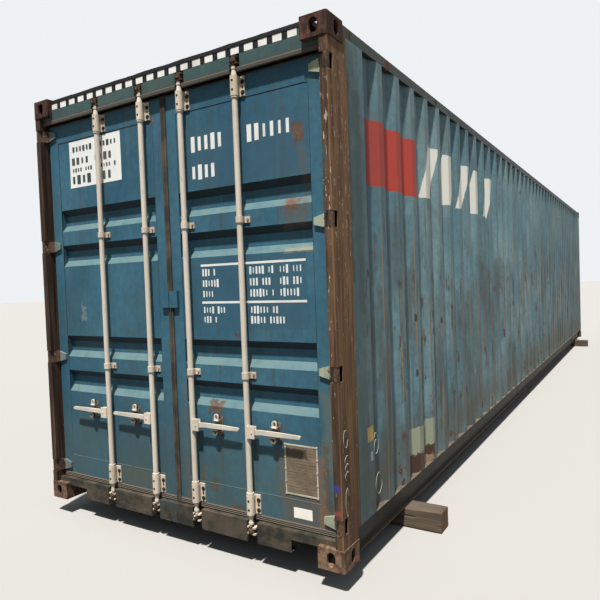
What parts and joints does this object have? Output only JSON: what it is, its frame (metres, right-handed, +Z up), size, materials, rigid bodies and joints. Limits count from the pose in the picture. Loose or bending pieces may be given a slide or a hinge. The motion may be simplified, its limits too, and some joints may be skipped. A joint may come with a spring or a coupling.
{
  "type": "shipping container",
  "caption": "High-cube steel shipping container on timber sleepers, with corrugated walls and roof, plywood floor, hinged double doors, lock rods, lifting handles and folding catches.",
  "frame": {"origin": "centre of the bounding box at the underside of the timber sleepers", "axes": "+X along the length from the door end to the far end, +Y to the left of someone who stands before the doors, +Z up"},
  "size_m": [12.192, 2.868, 3.01],
  "materials": {
    "wall_paint": "weathered teal blue paint with rust spots and streaks",
    "frame_paint": "dark paint almost covered with rust",
    "underframe_paint": "dirty dark paint with rusted edges",
    "fitting_paint": "chalky cream paint over zinc with rust at the joints",
    "door_seal": "dull brown rubber",
    "floor_plywood": "worn sealed plywood",
    "sleeper_timber": "rough grey weathered timber"
  },
  "bodies": {
    "container": {"door_end_left_post": "frame_paint", "door_end_right_post": "frame_paint", "far_end_left_post": "wall_paint", "far_end_right_post": "wall_paint", "door_header": "wall_paint", "door_sill": "frame_paint", "far_end_header": "wall_paint", "far_end_sill": "wall_paint", "left_top_rail": "wall_paint", "right_top_rail": "wall_paint", "left_bottom_rail": "underframe_paint", "right_bottom_rail": "underframe_paint", "left_side_wall": "wall_paint", "right_side_wall": "wall_paint", "far_end_wall": "wall_paint", "roof_panel": "wall_paint", "plywood_floor": "floor_plywood", "cross_members": "underframe_paint", "gooseneck_tunnel": "underframe_paint", "top_corner_fittings": "frame_paint", "bottom_corner_fittings": "frame_paint", "rod_keepers": "fitting_paint", "timber_sleepers": "sleeper_timber"},
    "left_door": {"left_door_frame": "wall_paint", "left_door_panel": "wall_paint", "left_door_gasket": "door_seal", "left_hinge_blades": "fitting_paint", "left_door_brackets": "fitting_paint", "left_handle_retainers": "fitting_paint"},
    "right_door": {"right_door_frame": "wall_paint", "right_door_panel": "wall_paint", "right_door_gasket": "door_seal", "right_hinge_blades": "fitting_paint", "right_door_brackets": "fitting_paint", "right_handle_retainers": "fitting_paint"},
    "outer_left_rod": {"outer_left_lock_rod": "fitting_paint"},
    "outer_left_grip": {"outer_left_handle": "fitting_paint"},
    "outer_left_flap": {"outer_left_catch": "fitting_paint"},
    "inner_left_rod": {"inner_left_lock_rod": "fitting_paint"},
    "inner_left_grip": {"inner_left_handle": "fitting_paint"},
    "inner_left_flap": {"inner_left_catch": "fitting_paint"},
    "inner_right_rod": {"inner_right_lock_rod": "fitting_paint"},
    "inner_right_grip": {"inner_right_handle": "fitting_paint"},
    "inner_right_flap": {"inner_right_catch": "fitting_paint"},
    "outer_right_rod": {"outer_right_lock_rod": "fitting_paint"},
    "outer_right_grip": {"outer_right_handle": "fitting_paint"},
    "outer_right_flap": {"outer_right_catch": "fitting_paint"}
  },
  "joints": [
    {"name": "left_door_hinge", "type": "hinge", "parent": "container", "child": "left_door", "pos_m": [-6.076, 1.199, 1.559], "axis": [0, 0, 1], "range_deg": [-265, 0]},
    {"name": "right_door_hinge", "type": "hinge", "parent": "container", "child": "right_door", "pos_m": [-6.076, -1.199, 1.559], "axis": [0, 0, -1], "range_deg": [-265, 0]},
    {"name": "outer_left_rod_turn", "type": "hinge", "parent": "left_door", "child": "outer_left_rod", "pos_m": [-6.057, 0.593, 1.6], "axis": [0, 0, 1], "range_deg": [0, 90]},
    {"name": "outer_left_handle_lift", "type": "hinge", "parent": "outer_left_rod", "child": "outer_left_grip", "pos_m": [-6.069, 0.636, 0.79], "axis": [1, 0, 0], "range_deg": [0, 28]},
    {"name": "outer_left_catch_fold", "type": "hinge", "parent": "left_door", "child": "outer_left_flap", "pos_m": [-6.049, 0.775, 0.825], "axis": [0, -1, 0], "range_deg": [0, 105]},
    {"name": "inner_left_rod_turn", "type": "hinge", "parent": "left_door", "child": "inner_left_rod", "pos_m": [-6.057, 0.171, 1.6], "axis": [0, 0, 1], "range_deg": [0, 90]},
    {"name": "inner_left_handle_lift", "type": "hinge", "parent": "inner_left_rod", "child": "inner_left_grip", "pos_m": [-6.069, 0.214, 0.79], "axis": [1, 0, 0], "range_deg": [0, 28]},
    {"name": "inner_left_catch_fold", "type": "hinge", "parent": "left_door", "child": "inner_left_flap", "pos_m": [-6.049, 0.353, 0.825], "axis": [0, -1, 0], "range_deg": [0, 105]},
    {"name": "inner_right_rod_turn", "type": "hinge", "parent": "right_door", "child": "inner_right_rod", "pos_m": [-6.057, -0.171, 1.6], "axis": [0, 0, -1], "range_deg": [0, 90]},
    {"name": "inner_right_handle_lift", "type": "hinge", "parent": "inner_right_rod", "child": "inner_right_grip", "pos_m": [-6.069, -0.214, 0.79], "axis": [-1, 0, 0], "range_deg": [0, 28]},
    {"name": "inner_right_catch_fold", "type": "hinge", "parent": "right_door", "child": "inner_right_flap", "pos_m": [-6.049, -0.353, 0.825], "axis": [0, -1, 0], "range_deg": [0, 105]},
    {"name": "outer_right_rod_turn", "type": "hinge", "parent": "right_door", "child": "outer_right_rod", "pos_m": [-6.057, -0.593, 1.6], "axis": [0, 0, -1], "range_deg": [0, 90]},
    {"name": "outer_right_handle_lift", "type": "hinge", "parent": "outer_right_rod", "child": "outer_right_grip", "pos_m": [-6.069, -0.636, 0.79], "axis": [-1, 0, 0], "range_deg": [0, 28]},
    {"name": "outer_right_catch_fold", "type": "hinge", "parent": "right_door", "child": "outer_right_flap", "pos_m": [-6.049, -0.775, 0.825], "axis": [0, -1, 0], "range_deg": [0, 105]}
  ]
}
